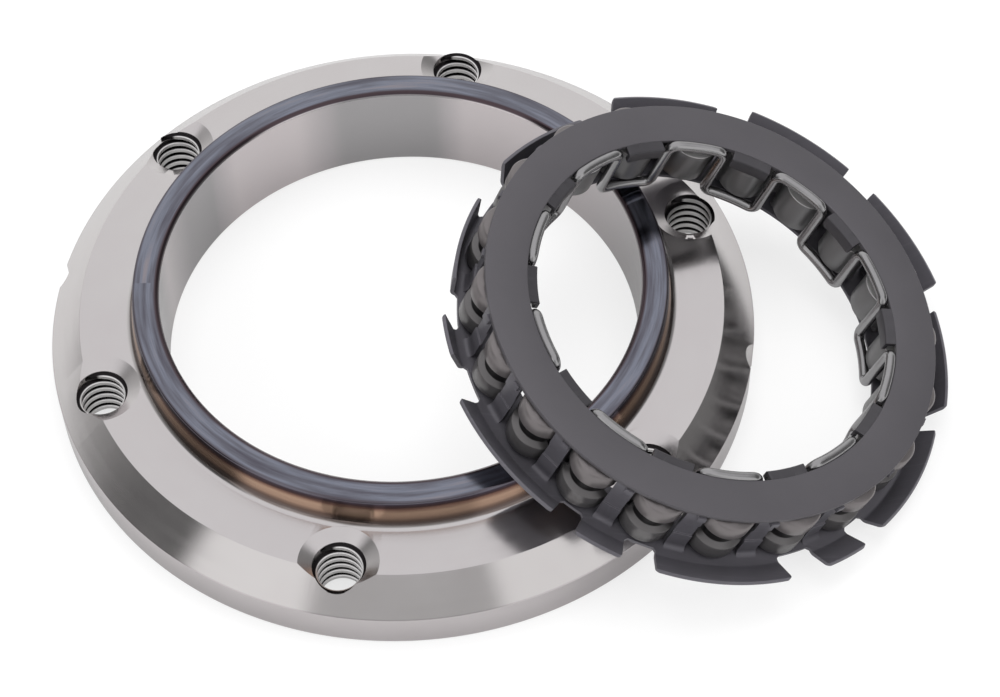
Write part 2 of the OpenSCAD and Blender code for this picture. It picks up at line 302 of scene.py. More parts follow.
# How bright the bore's soft patches are, from dull to bright, at bearings in degrees; they are partly the
# ground finish and partly a painted reflection
BORE_REFLECTION_PATCHES = [(-180, 0.2), (-130, 0.9), (-110, 0.3), (-40, 0.8), (0, 0.2), (57, 0.9), (74, 0.85),
                (82, 0.05), (105, 0.05), (117, 0.95), (136, 0.95), (145, 0.05), (156, 0.1), (163, 0.45),
                (171, 0.9), (179, 0.2)]
LIP_BLUES = [(0.30, (0.105, 0.10, 0.125)), (0.46, (0.175, 0.178, 0.213)), (0.58, (0.235, 0.25, 0.305)),
             (0.72, (0.31, 0.285, 0.31))]
LIP_EDGE_DARK = (0.085, 0.062, 0.07)
WALL_BRONZES = [(0.0, (0.50, 0.47, 0.46)), (0.07, (0.20, 0.165, 0.155)), (0.24, (0.19, 0.13, 0.105)),
                (0.42, (0.50, 0.34, 0.25)), (0.60, (0.58, 0.40, 0.29)), (0.74, (0.26, 0.15, 0.115)),
                (0.84, (0.075, 0.045, 0.045)), (1.0, (0.07, 0.06, 0.085))]


def turning_group():
    """Tool marks that run round the Z axis, broader streaks along them, and where on the ring a point is."""
    tree, given, out = node_group("turning marks", {"Lines per mm": 6.0, "Streaks per mm": 1.0},
                                  {"Height": "Float", "Streak": "Float", "Radius": "Float", "Level": "Float",
                                   "Bearing": "Float", "Wear": "Float"})
    place = add(tree, "TexCoord").outputs["Object"]
    split = add(tree, "SeparateXYZ", {0: place})
    flat = add(tree, "CombineXYZ", {0: split.outputs[0], 1: split.outputs[1]})
    radius = add(tree, "VectorMath", {0: flat.outputs[0]}, operation="LENGTH").outputs["Value"]
    bearing = reckon(tree, "ARCTAN2", split.outputs[1], split.outputs[0])
    noises = []
    for density, along, detail in (("Lines per mm", 1.5, 2.0), ("Streaks per mm", 2.2, 4.0)):
        lines = reckon(tree, "MULTIPLY", given.outputs[density], 1 / MM)
        across = add(tree, "CombineXYZ", {0: reckon(tree, "MULTIPLY", radius, lines),
                                          1: reckon(tree, "MULTIPLY", split.outputs[2], lines),
                                          2: reckon(tree, "MULTIPLY", bearing, along)})
        noises.append(add(tree, "TexNoise", {"Vector": across.outputs[0], "Scale": 1.0, "Detail": detail,
                                             "Roughness": 0.6}).outputs["Fac"])
    cloud = add(tree, "TexNoise", {"Vector": place, "Scale": 90.0, "Detail": 5.0, "Roughness": 0.62})
    tree.links.new(noises[0], out.inputs["Height"])
    tree.links.new(noises[1], out.inputs["Streak"])
    tree.links.new(radius, out.inputs["Radius"])
    tree.links.new(split.outputs[2], out.inputs["Level"])
    tree.links.new(bearing, out.inputs["Bearing"])
    tree.links.new(cloud.outputs["Fac"], out.inputs["Wear"])
    return tree


def lip_tints(tree, marks):
    """The hardened lip's colours: streaked blue-grey on top, darker along the top's inner and outer edges,
    and bronze under a dark edge on its wall.
    """
    radius, level, streak = marks.outputs["Radius"], marks.outputs["Level"], marks.outputs["Streak"]
    # Darker along the lip top's inner edge, and less so along its outer edge
    rim_in = reckon(tree, "SUBTRACT", 1.0, step_up(tree, radius, (BORE_R + 0.6) * MM, (BORE_R + 1.0) * MM))
    rim_out = step_up(tree, radius, (LIP_R - 0.5) * MM, (LIP_R - 0.2) * MM)
    dark_edges = reckon(tree, "MAXIMUM", rim_in, reckon(tree, "MULTIPLY", rim_out, 0.6))
    top = mixed_colour(tree, dark_edges, coloured(tree, streak, LIP_BLUES), LIP_EDGE_DARK)
    height = add(tree, "MapRange", {0: level, 1: (FACE_H + 0.12) * MM, 2: (LIP_H - 0.15) * MM}).outputs[0]
    uneven = reckon(tree, "MULTIPLY_ADD", streak, 0.26, -0.13)
    wall = coloured(tree, reckon(tree, "ADD", height, uneven), WALL_BRONZES)
    return mixed_colour(tree, step_up(tree, level, (LIP_H - 0.55) * MM, (LIP_H - 0.15) * MM), wall, top)


def bore_grind_and_reflection(tree, marks):
    """The ground bore's long soft patches, fitted to the photograph and so partly a painted reflection of
    what the steel mirrors.
    """
    turn = add(tree, "MapRange", {0: marks.outputs["Bearing"], 1: -math.pi, 2: math.pi}).outputs[0]
    dull, bright = Vector(BORE_DULL), Vector(BORE_BRIGHT)
    return coloured(tree, turn, [((bearing + 180) / 360, tuple(dull.lerp(bright, share)))
                                 for bearing, share in BORE_REFLECTION_PATCHES])


def race_finish():
    """Bright turned steel with a ground bore whose patches are partly painted reflection, a rim in painted
    shade, and the lip's blue and bronze from hardening.
    """
    finish, tree, shader = new_finish("turned_steel")
    marks = use_group(tree, turning_marks, Lines_per_mm=5.0, Streaks_per_mm=0.9)
    radius, level = marks.outputs["Radius"], marks.outputs["Level"]
    wear, streak = marks.outputs["Wear"], marks.outputs["Streak"]
    beyond_foot = step_up(tree, radius, (LIP_FOOT_R + 0.43) * MM, (LIP_FOOT_R + 0.73) * MM)
    above_foot = step_up(tree, level, (FACE_H + 0.12) * MM, (FACE_H + 0.32) * MM)
    out_of_bore = step_up(tree, radius, (BORE_R + 0.05) * MM, (BORE_R + 0.25) * MM)
    on_lip = reckon(tree, "MULTIPLY", reckon(tree, "SUBTRACT", 1.0, beyond_foot), above_foot)
    lip = reckon(tree, "MULTIPLY", on_lip, out_of_bore)
    inside = mixed_colour(tree, out_of_bore, bore_grind_and_reflection(tree, marks),
                          mixed_colour(tree, wear, STEEL_DARK, STEEL_LIGHT))
    # Painted shade: the rim's outer side takes the darker rim tones
    rim_shade = step_up(tree, radius, (RIM_R - 0.25) * MM, (RIM_R - 0.05) * MM)
    plain = mixed_colour(tree, rim_shade, inside, mixed_colour(tree, wear, RIM_SHADE_DARK, RIM_SHADE_LIGHT))
    colour = mixed_colour(tree, lip, plain, lip_tints(tree, marks))
    tree.links.new(colour, shader.inputs["Base Color"])
    uneven = reckon(tree, "MULTIPLY", reckon(tree, "ADD", wear, streak), 0.5)
    rough = add(tree, "MapRange", {0: uneven, 1: 0.3, 2: 0.7, 3: 0.13, 4: 0.21}).outputs[0]
    tree.links.new(rough, shader.inputs["Roughness"])
    shader.inputs["Metallic"].default_value = 1.0
    shader.inputs["Anisotropic"].default_value = 0.85
    shader.inputs["Anisotropic Rotation"].default_value = 0.25
    around = add(tree, "Tangent", direction_type="RADIAL", axis="Z")
    tree.links.new(around.outputs[0], shader.inputs["Tangent"])
    bump = add(tree, "Bump", {"Strength": 0.12, "Distance": 0.02 * MM, "Height": marks.outputs["Height"]})
    tree.links.new(bump.outputs[0], shader.inputs["Normal"])
    return finish


turning_marks = turning_group()
race.data.materials.clear()
race.data.materials.append(race_finish())
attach(race, "race")
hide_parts("outer_race")

# Threads of the bolt holes: cut in the race's own steel by a tap, with five to six turns in each hole.
# They run out at the foot of the countersink, where the last turn fades into the wall.
PITCH = 1.6
CREST_R = 3.35
ROOT_R = THREAD_R + 0.05
THREAD_LOW = 0.05
THREAD_HIGH = SINK_LOW - 0.02
TURN_STEPS = 48
FADE_STEPS = 6
LAST_TURN = math.radians(135)
RIDGE_HALF = 0.6
CREST_HALF = 0.3
# The crests carry a painted highlight, brighter than the race's own steel, and the roots painted shade
CREST_HIGHLIGHT_DIM, CREST_HIGHLIGHT_FULL = (0.80, 0.785, 0.78), (0.95, 0.94, 0.93)
ROOT_SHADE = (0.02, 0.018, 0.019)


def thread(centre):
    """One hole's thread: a ridge of trapezium section, wound up the wall and faded at both ends."""
    turns = (THREAD_HIGH - THREAD_LOW - 2 * RIDGE_HALF) / PITCH
    count = int(turns * TURN_STEPS)
    first_turn = LAST_TURN - 2 * math.pi * count / TURN_STEPS
    points, faces = [], []
    for i in range(count + 1):
        bearing = first_turn + 2 * math.pi * i / TURN_STEPS
        height = THREAD_LOW + RIDGE_HALF + PITCH * i / TURN_STEPS
        fade = min(1, min(i, count - i) / FADE_STEPS + 0.06)
        crest = ROOT_R - (ROOT_R - CREST_R) * fade
        for r, z in ((ROOT_R, -RIDGE_HALF), (crest, -CREST_HALF), (crest, CREST_HALF), (ROOT_R, RIDGE_HALF)):
            points.append((centre[0] + r * math.cos(bearing), centre[1] + r * math.sin(bearing), height + z))
    for i in range(count):
        for j in range(4):
            k = (j + 1) % 4
            faces.append((4 * i + j, 4 * i + k, 4 * i + 4 + k, 4 * i + 4 + j))
    faces += [(3, 2, 1, 0), tuple(4 * count + j for j in range(4))]
    return points, faces


def mark_depth(piece):
    """Notes on each point how far it stands out of the thread's root: 0 at the root and 1 at the crest."""
    depth = piece.data.attributes.new("depth", "FLOAT", "POINT")
    centres = [Vector(place) for place in bolt_places()]
    for k, vertex in enumerate(piece.data.vertices):
        spot = Vector((vertex.co.x / MM, vertex.co.y / MM, 0))
        r = min((spot - centre).length for centre in centres)
        depth.data[k].value = (THREAD_R - r) / (THREAD_R - CREST_R)


def thread_finish():
    """Cut steel with a painted highlight on its crests and painted shade in its roots."""
    finish, tree, shader = new_finish("tapped_steel")
    shine = add(tree, "TexNoise", {"Vector": add(tree, "TexCoord").outputs["Object"], "Scale": 700.0,
                                   "Detail": 3.0})
    depth = add(tree, "Attribute", attribute_name="depth").outputs["Fac"]
    crest = mixed_colour(tree, shine.outputs["Fac"], CREST_HIGHLIGHT_DIM, CREST_HIGHLIGHT_FULL)
    # Painted shade in the roots and painted highlight on the crests, by depth
    colour = mixed_colour(tree, step_up(tree, depth, 0.62, 0.84), ROOT_SHADE, crest)
    tree.links.new(colour, shader.inputs["Base Color"])
    rough = add(tree, "MapRange", {0: shine.outputs["Fac"], 3: 0.26, 4: 0.40}).outputs[0]
    tree.links.new(rough, shader.inputs["Roughness"])
    shader.inputs["Metallic"].default_value = 1.0
    return finish


threads = new_piece("bolt_threads", *together([thread(place) for place in bolt_places()]), crease=20)
mark_depth(threads)
threads.data.materials.append(thread_finish())
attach(threads, "race")

# Sprag cage: one drawn and pierced cup of thin steel, blackened after pressing.
# Twenty windows leave twenty crossbars, and the flange at the cup's foot is slit into drag tabs
# whose outer bands are folded up a little. It leans on the race's lip, as the part was laid down.
SPRAG_COUNT = 20
WINDOW_PITCH = 2 * math.pi / SPRAG_COUNT
FIRST_SPRAG = math.radians(20.3)
CAGE_H = 11.6
SHEET_T = 0.6
WALL_R = 34.9
WALL_OUT_R = WALL_R + SHEET_T
CROSSBAR_W = 2.9
RING_T = 0.8
FLANGE_IN_R = 30.2
FLANGE_ROOT_R = 36.8
FOLD_R = 38.0
TAB_R, STEEP_R = 41.6, 39.4
LOW_RISE, HIGH_RISE = 2.3, 4.6
TAB_CORNER_R = 0.9
TAB_ROOT_R = 0.45
TIP_STEP = 1.5
TIP_CLEAR = 0.2
WIDE, BROAD, NARROW = 24.6, 29.6, 10.6
# Each drag tab's bearing and angle in degrees, and the radius and rise of its tip
TABS = [(0.3, WIDE, TAB_R - 1.1, HIGH_RISE + 1.4),
        (31.4, WIDE, TAB_R + 0.9, HIGH_RISE + 1.6),
        (63.4, WIDE, TAB_R + 1.1, HIGH_RISE + 1.6),
        (95.5, WIDE, TAB_R + 0.3, HIGH_RISE + 0.6),
        (129.4, WIDE, STEEP_R, HIGH_RISE),
        (165.2, BROAD - 6.5, STEEP_R - 0.6, HIGH_RISE),
        (191.2, NARROW - 1, TAB_R - 0.9, HIGH_RISE),
        (220.2, BROAD, TAB_R, HIGH_RISE - 1.2),
        (246.4, NARROW, TAB_R, LOW_RISE),
        (274, BROAD, TAB_R, LOW_RISE),
        (303.3, NARROW, TAB_R - 0.3, LOW_RISE),
        (329.6, BROAD, TAB_R - 0.9, LOW_RISE + 0.2)]
GROOVE_LOW = 4.2
GROOVE_HIGH = 7.4
WINDOW_TOP = 10.5
EAR_H = 0.9
EAR_W = 0.42 * CROSSBAR_W
CAGE_STEPS = 360
CAGE_X, CAGE_Y = 43.798, -11.0957
FLOOR_GAP = 0.35
CAGE_DARK, CAGE_LIGHT = (0.098, 0.094, 0.108), (0.128, 0.123, 0.139)
cage_axis = Vector(next(joint["axis"] for joint in frame["joints"] if joint["name"] == "cage_lift"))
cage_tilt = math.acos(cage_axis.normalized().z)
cage_lean = math.atan2(cage_axis.y, cage_axis.x)
cage_foot = Vector((CAGE_X, CAGE_Y, FOLD_R * math.sin(cage_tilt) + FLOOR_GAP))
cage_place = (Matrix.Translation(cage_foot) @ Matrix.Rotation(cage_lean, 4, "Z")
              @ Matrix.Rotation(cage_tilt, 4, "Y") @ Matrix.Rotation(-cage_lean, 4, "Z"))


def in_cage(piece):
    """Lays a piece where the cage lies, after noting each point's height and reach in the cage's frame."""
    measures = {"height": lambda spot: spot.z / MM, "reach": lambda spot: spot.xy.length / MM}
    for label, measure in measures.items():
        noted = piece.data.attributes.new(label, "FLOAT", "POINT")
        for k, vertex in enumerate(piece.data.vertices):
            noted.data[k].value = measure(vertex.co)
    lay = cage_place.copy()
    lay.translation = lay.translation * MM
    piece.data.transform(lay)
    return piece


def tabbed_outline():
    """The blank's outer outline, seen along the cage's axis: twelve tabs with rounded corners and roots."""
    quarter = [math.pi / 2 * i / 6 for i in range(7)]
    root_turn = TAB_ROOT_R / FLANGE_ROOT_R
    outline = []
    for k, (middle, angle, tip_r, rise) in enumerate(TABS):
        slope = math.atan2(rise, tip_r - FOLD_R)
        across, along = TAB_CORNER_R * math.cos(slope), TAB_CORNER_R / tip_r
        low, high = math.radians(middle - angle / 2), math.radians(middle + angle / 2)
        corner = [(tip_r - across * (1 - math.sin(a)), along * (1 - math.cos(a))) for a in quarter]
        steps = round(angle / TIP_STEP)
        span = high - low - 2 * along
        outline += [polar(FLANGE_ROOT_R, low - root_turn), polar(FLANGE_ROOT_R + TAB_ROOT_R, low)]
        outline += [polar(r, low + turn) for r, turn in corner]
        outline += [polar(tip_r + TIP_CLEAR, low + along + span * i / steps) for i in range(steps + 1)]
        outline += [polar(r, high - turn) for r, turn in reversed(corner)]
        outline += [polar(FLANGE_ROOT_R + TAB_ROOT_R, high), polar(FLANGE_ROOT_R, high + root_turn)]
        following = TABS[(k + 1) % len(TABS)]
        gap = (math.radians((following[0] - following[1] / 2) % 360) - high) % (2 * math.pi)
        outline += [polar(FLANGE_ROOT_R, high + gap * (0.25 + 0.125 * i)) for i in range(5)]
    return outline


def shell_section(bearing):
    """Half section of the drawn cup at a bearing: flange, nearest tab, and wall with its relief groove."""
    def beyond(tab):
        return abs((bearing - tab[0] + 180) % 360 - 180) - tab[1] / 2
    tip_r, rise = min(TABS, key=beyond)[2:]
    bend = math.atan2(rise, tip_r - FOLD_R)
    relief = SHEET_T * 0.45
    return softened([
        (FLANGE_IN_R, 0, 0.12), (FOLD_R, 0, 1.2), (tip_r, rise, 0.1),
        (tip_r - SHEET_T * math.sin(bend), rise + SHEET_T * math.cos(bend), 0.1),
        (FOLD_R - SHEET_T * math.tan(bend / 2), SHEET_T, 0.6), (WALL_OUT_R, SHEET_T, 1.0),
        (WALL_OUT_R, GROOVE_LOW, 0.08), (WALL_OUT_R - relief, GROOVE_LOW, 0.08),
        (WALL_OUT_R - relief, GROOVE_HIGH, 0.08), (WALL_OUT_R, GROOVE_HIGH, 0.08),
        (WALL_OUT_R, CAGE_H - RING_T, 0.1), (WALL_R, CAGE_H - RING_T, 0.1),
        (WALL_R, SHEET_T, 0.2), (FLANGE_IN_R, SHEET_T, 0.12)])


def at_windows(part, offset=0.0):
    """The same tool at every window, or between the windows with an offset of one half."""
    return together([moved(part, Matrix.Rotation(FIRST_SPRAG + (k + offset) * WINDOW_PITCH, 4, "Z"))
                     for k in range(SPRAG_COUNT)])


def box_part(low, high):
    """Points and faces of a block between two corners."""
    outline = [(low[0], low[1]), (high[0], low[1]), (high[0], high[1]), (low[0], high[1])]
    return upright(outline, low[2], high[2])


def without_strays(piece, radius, low):
    """Drops faces of a cutting tool that the cut left standing inside a wall, above a height."""
    shape = bmesh.new()
    shape.from_mesh(piece.data)
    centres = [(face, face.calc_center_median()) for face in shape.faces]
    strays = [face for face, centre in centres if centre.xy.length < radius * MM and centre.z > low * MM]
    bmesh.ops.delete(shape, geom=strays, context="FACES")
    shape.to_mesh(piece.data)
    shape.free()


shell = new_piece("cage_cup", *ringed([shell_section(360 * k / CAGE_STEPS) for k in range(CAGE_STEPS)]))
machined(shell, new_piece("blanking_tool", *upright(tabbed_outline(), CUT_FROM, CAGE_H + 1)), "INTERSECT")
wall_mid = WALL_R + SHEET_T / 2
window_half = wall_mid * math.sin(WINDOW_PITCH / 2 - math.asin(CROSSBAR_W / 2 / wall_mid))
window_in_r, window_out_r = WALL_R - 0.5, FLANGE_ROOT_R + 0.2
window = upright(softened([(window_in_r, -window_half, 0.3), (window_out_r, -window_half, 0.1),
                           (window_out_r, window_half, 0.1), (window_in_r, window_half, 0.3)]),
                 SHEET_T + 0.05, WINDOW_TOP)
machined(shell, new_piece("piercing_tool", *at_windows(window)), "DIFFERENCE")
without_strays(shell, WALL_R - 0.25, SHEET_T + 1)
ear_top = CAGE_H - RING_T
ear = box_part((WALL_OUT_R - 0.2, 0.1, ear_top - EAR_H), (WALL_OUT_R + 0.6, 0.1 + EAR_W, ear_top))
machined(shell, new_piece("ear_blanks", *at_windows(ear, 0.5)), "UNION")
broken_edges(shell, 0.07, crease=40)
in_cage(shell)


def oxide_group():
    """The mottled black of oxidised sheet, with faint scuffs and rubbed spots."""
    tree, given, out = node_group("black oxide", {"Scale": 1.0},
                                  {"Tone": "Float", "Scuff": "Float", "Height": "Float"})
    place = add(tree, "TexCoord").outputs["Object"]
    scaled = add(tree, "VectorMath", {0: place, "Scale": given.outputs["Scale"]}, operation="SCALE")
    cloud = add(tree, "TexNoise", {"Vector": scaled.outputs[0], "Scale": 120.0, "Detail": 6.0,
                                   "Roughness": 0.65})
    stretched = add(tree, "Mapping", {"Vector": scaled.outputs[0], "Rotation": (0.3, 0.5, 0.9),
                                      "Scale": (1.0, 14.0, 1.0)})
    scuffs = add(tree, "TexNoise", {"Vector": stretched.outputs[0], "Scale": 130.0, "Detail": 3.0})
    grain = add(tree, "TexNoise", {"Vector": scaled.outputs[0], "Scale": 1900.0, "Detail": 2.0})
    tree.links.new(cloud.outputs["Fac"], out.inputs["Tone"])
    tree.links.new(step_up(tree, scuffs.outputs["Fac"], 0.56, 0.74), out.inputs["Scuff"])
    tree.links.new(grain.outputs["Fac"], out.inputs["Height"])
    return tree


def cage_finish(name, dark, light, rough, scuffed):
    """Blackened sheet steel: a thin matt oxide over metal, cloudy, and lighter where it has rubbed."""
    finish, tree, shader = new_finish(name)
    oxide = use_group(tree, black_oxide)
    base = mixed_colour(tree, oxide.outputs["Tone"], dark, light)
    rubbed = tuple(1.5 * c for c in light)
    colour = mixed_colour(tree, reckon(tree, "MULTIPLY", oxide.outputs["Scuff"], scuffed), base, rubbed)
    tree.links.new(colour, shader.inputs["Base Color"])
    roughness = add(tree, "MapRange", {0: oxide.outputs["Tone"], 3: rough - 0.06, 4: rough + 0.08}).outputs[0]
    tree.links.new(roughness, shader.inputs["Roughness"])
    shader.inputs["Metallic"].default_value = 0.45
    bump = add(tree, "Bump", {"Strength": 0.25, "Distance": 0.012 * MM, "Height": oxide.outputs["Height"]})
    tree.links.new(bump.outputs[0], shader.inputs["Normal"])
    return finish


black_oxide = oxide_group()
shell.data.materials.clear()
shell.data.materials.append(cage_finish("cage_black", CAGE_DARK, CAGE_LIGHT, 0.36, 0.2))
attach(shell, "cage")
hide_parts("cage_shell")

# Cover ring: a flat stamped ring, blackened like the cage, that closes the windows' open ends.
# Ten lugs at its inner edge are bent in and down between the spring's runs, so the sprags can't drop out.
RING_IN_R = 29.3
RING_OUT_R = 35.8
RING_EDGE = 0.15
LUG_DROP = 2.5
LUG_LOW = CAGE_H - LUG_DROP
LUG_IN_R = 27.7
LUG_W = 6.2
LUG_T = 0.75 * RING_T
LUG_CORNER_R = 0.9
LUG_TOOL_FROM, LUG_TOOL_TO = 20, 33
COVER_DARK, COVER_LIGHT = (0.080, 0.076, 0.084), (0.096, 0.091, 0.100)
# The lugs are the ring's own blackened sheet; their darker tones are painted shade
LUG_SHADE_DARK, LUG_SHADE_LIGHT = (0.045, 0.043, 0.048), (0.058, 0.055, 0.061)

ring_section = softened([(RING_IN_R, CAGE_H - RING_T, RING_EDGE), (RING_OUT_R, CAGE_H - RING_T, RING_EDGE),
                         (RING_OUT_R, CAGE_H, RING_EDGE), (RING_IN_R, CAGE_H, RING_EDGE)])
cover = new_piece("cover_plate", *turned(ring_section, CAGE_STEPS))
lug_section = softened([(RING_IN_R + 0.4, CAGE_H - 0.1, 0.02), (LUG_IN_R, CAGE_H - 0.25, 0.35),
                        (LUG_IN_R, LUG_LOW, 0.15), (LUG_IN_R + LUG_T, LUG_LOW, 0.15),
                        (LUG_IN_R + LUG_T, CAGE_H - RING_T - 0.1, 0.1),
                        (RING_IN_R + 0.4, CAGE_H - RING_T + 0.1, 0.02)])
lugs = new_piece("lugs", *turned(lug_section, CAGE_STEPS))
face_corners = [(-LUG_W / 2, LUG_LOW - 0.05, LUG_CORNER_R), (LUG_W / 2, LUG_LOW - 0.05, LUG_CORNER_R),
                (LUG_W / 2, CAGE_H + 1, 0.01), (-LUG_W / 2, CAGE_H + 1, 0.01)]
face_points, face_faces = upright(softened(face_corners), LUG_TOOL_FROM, LUG_TOOL_TO)
lug_block = ([(p[2], p[0], p[1]) for p in face_points], face_faces)
lug_blocks = together([moved(lug_block, Matrix.Rotation(FIRST_SPRAG + (2 * k + 1) * WINDOW_PITCH, 4, "Z"))
                       for k in range(SPRAG_COUNT // 2)])
machined(lugs, new_piece("lug_tool", *lug_blocks), "INTERSECT")
machined(cover, lugs, "UNION")
broken_edges(cover, 0.08, crease=40)
# Painted shade: the lugs' faces take the darker lug tones
shaded_lug_faces = [face.index for face in cover.data.polygons if face.center.xy.length < (RING_IN_R - 0.1) * MM]
in_cage(cover)
cover.data.materials.clear()
cover.data.materials.append(cage_finish("cover_black", COVER_DARK, COVER_LIGHT, 0.40, 0.0))
cover.data.materials.append(cage_finish("lug_shade_black", LUG_SHADE_DARK, LUG_SHADE_LIGHT, 0.36, 0.0))
for index in shaded_lug_faces:
    cover.data.polygons[index].material_index = 1
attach(cover, "cage")
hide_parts("cover_ring")

# Energizing spring: one closed length of hard-drawn wire, formed into ten square waves and sprung into the
# cage. Its legs stand between the sprags and press on their flanks, which keeps every sprag ready to grip.
WIRE_R = 0.8
SPRING_R = 28.6
SPRING_CORNER_R = 1.3
RUN_LOW = 1.15
RUN_HIGH = CAGE_H - 0.4
WIRE_SIDES = 16
CORNER_STEPS, RUN_STEPS, LEG_STEPS = 8, 6, 4
WIRE_DARK, WIRE_LIGHT = (0.33, 0.325, 0.33), (0.42, 0.415, 0.42)


def arc(centre, r, start, stop, steps):
    """Points of an arc about a centre, from one bearing in degrees to another."""
    bearings = [math.radians(start + (stop - start) * i / steps) for i in range(steps + 1)]
    return [(centre[0] + r * math.cos(a), centre[1] + r * math.sin(a)) for a in bearings]


def wave_points():
    """One wave of the spring, as arc length and height, with rounded corners."""
    half = SPRING_R * WINDOW_PITCH / 2
    c = SPRING_CORNER_R
    corners = [(-half + c, RUN_HIGH - c, 180, 90), (half - c, RUN_HIGH - c, 90, 0),
               (half + c, RUN_LOW + c, 180, 270), (3 * half - c, RUN_LOW + c, 270, 360)]
    points = []
    for k, (x, z, start, stop) in enumerate(corners):
        points += arc((x, z), c, start, stop, CORNER_STEPS)
        if k % 2 == 0:
            level = RUN_HIGH if k == 0 else RUN_LOW
            run = (corners[k + 1][0] - x) / RUN_STEPS
            points += [(x + run * i, level) for i in range(1, RUN_STEPS)]
        else:
            leg = (RUN_HIGH - RUN_LOW - 2 * c) / LEG_STEPS
            rise = -leg if k == 1 else leg
            points += [(x + c, z + rise * i) for i in range(1, LEG_STEPS)]
    return points


def wire_part():
    """The closed wire: a round section swept along the waves, wrapped on the spring's cylinder."""
    path = []
    for k in range(SPRAG_COUNT // 2):
        for along, height in wave_points():
            bearing = FIRST_SPRAG + 2 * k * WINDOW_PITCH + along / SPRING_R
            path.append(Vector((*polar(SPRING_R, bearing), height)))
    points, faces = [], []
    for i, place in enumerate(path):
        ahead = (path[(i + 1) % len(path)] - path[i - 1]).normalized()
        out = Vector((place.x, place.y, 0)).normalized()
        across = ahead.cross(out)
        for j in range(WIRE_SIDES):
            a = 2 * math.pi * j / WIRE_SIDES
            points.append(place + (out * math.cos(a) + across * math.sin(a)) * WIRE_R)
    for i in range(len(path)):
        here, there = i * WIRE_SIDES, (i + 1) % len(path) * WIRE_SIDES
        for j in range(WIRE_SIDES):
            k = (j + 1) % WIRE_SIDES
            faces.append((here + j, here + k, there + k, there + j))
    return points, faces


def wire_finish():
    """Hard-drawn spring wire: bright grey with fine draw lines and a little oil film."""
    finish, tree, shader = new_finish("spring_wire_steel")
    oxide = use_group(tree, black_oxide, Scale=3.0)
    colour = mixed_colour(tree, oxide.outputs["Tone"], WIRE_DARK, WIRE_LIGHT)
    tree.links.new(colour, shader.inputs["Base Color"])
    rough = add(tree, "MapRange", {0: oxide.outputs["Tone"], 3: 0.20, 4: 0.28}).outputs[0]
    tree.links.new(rough, shader.inputs["Roughness"])
    shader.inputs["Metallic"].default_value = 1.0
    bump = add(tree, "Bump", {"Strength": 0.15, "Distance": 0.004 * MM, "Height": oxide.outputs["Height"]})
    tree.links.new(bump.outputs[0], shader.inputs["Normal"])
    return finish


spring = in_cage(new_piece("wave_spring", *wire_part(), crease=60))
spring.data.materials.append(wire_finish())
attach(spring, "cage")
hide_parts("energizing_spring")

# Sprags: twenty struts of hard bearing steel, drawn to section, cut to length and tumbled.
# Each has a rounded face towards the race and one towards the hub, a waist where the cage holds it,
# a relief groove round its outer face, and shorter ends on its inner head. They rock in the windows.
PIVOT_R = 32.8
OUTER_FACE_R = 4.0
INNER_FACE_R = 4.1
OUTER_REACH = 36.9
INNER_REACH = 28.5
CAM_OFFSET = 0.8
SPRAG_LOW = 1.0
SPRAG_HIGH = 10.35
SPRAG_EDGE = 0.3
GROOVE_DEPTH = 1.0
GROOVE_SLOPE = 0.35
SHADE_LOW = 4.6
SHADE_HIGH = 6.5
HEAD_LOW = RUN_LOW + WIRE_R + 0.3
HEAD_HIGH = LUG_LOW - 0.5
HEAD_R = INNER_REACH + 2.6
HEAD_HALF = 7
NECK_HALF = 2.15
WAIST_R = 1.7
FACE_STEPS = 24
WAIST_STEPS = 8
LAND_DARK, LAND_LIGHT = (0.145, 0.132, 0.134), (0.20, 0.184, 0.184)
# Painted shade on the outer face's lower part, painted shadow over its groove, and a painted highlight on the
# inner head's step
LOWER_SHADE_DARK, LOWER_SHADE_LIGHT = (0.11, 0.105, 0.107), (0.155, 0.149, 0.15)
GROOVE_SHADOW = (0.012, 0.011, 0.012)
INNER_GREY, INNER_HIGHLIGHT = (0.18, 0.177, 0.18), (0.55, 0.54, 0.54)


def sprag_outline(groove=0.0, inset=0.0):
    """A sprag's section: two round faces that meet at the pivot, with a hollow waist on each side."""
    neck = NECK_HALF - inset
    points = arc((OUTER_REACH - OUTER_FACE_R, 0.1), OUTER_FACE_R - groove - inset, -78, 78, FACE_STEPS)
    points += arc((PIVOT_R, -CAM_OFFSET / 2 + neck + WAIST_R), WAIST_R, -35, -145, WAIST_STEPS)
    points += arc((INNER_REACH + INNER_FACE_R, -CAM_OFFSET), INNER_FACE_R - inset, 102, 258, FACE_STEPS)
    points += arc((PIVOT_R, -CAM_OFFSET / 2 - neck - WAIST_R), WAIST_R, 145, 35, WAIST_STEPS)
    return points


def stacked(levels):
    """Points and faces of a closed stack of outlines, each with its height."""
    count = len(levels[0][0])
    points = [(x, y, z) for outline, z in levels for x, y in outline]
    faces = [tuple(reversed(range(count))), tuple((len(levels) - 1) * count + j for j in range(count))]
    for i in range(len(levels) - 1):
        for j in range(count):
            k = (j + 1) % count
            faces.append((i * count + j, i * count + k, (i + 1) * count + k, (i + 1) * count + j))
    return points, faces


def sprag_part():
    """One sprag's stack: broken ends, two lands, and the groove between them with sloped walls."""
    full, ends = sprag_outline(), sprag_outline(inset=SPRAG_EDGE)
    grooved = sprag_outline(groove=GROOVE_DEPTH)
    return stacked([(ends, SPRAG_LOW), (full, SPRAG_LOW + SPRAG_EDGE), (full, GROOVE_LOW),
                    (grooved, GROOVE_LOW + GROOVE_SLOPE), (grooved, GROOVE_HIGH - GROOVE_SLOPE),
                    (full, GROOVE_HIGH), (full, SPRAG_HIGH - SPRAG_EDGE), (ends, SPRAG_HIGH)])


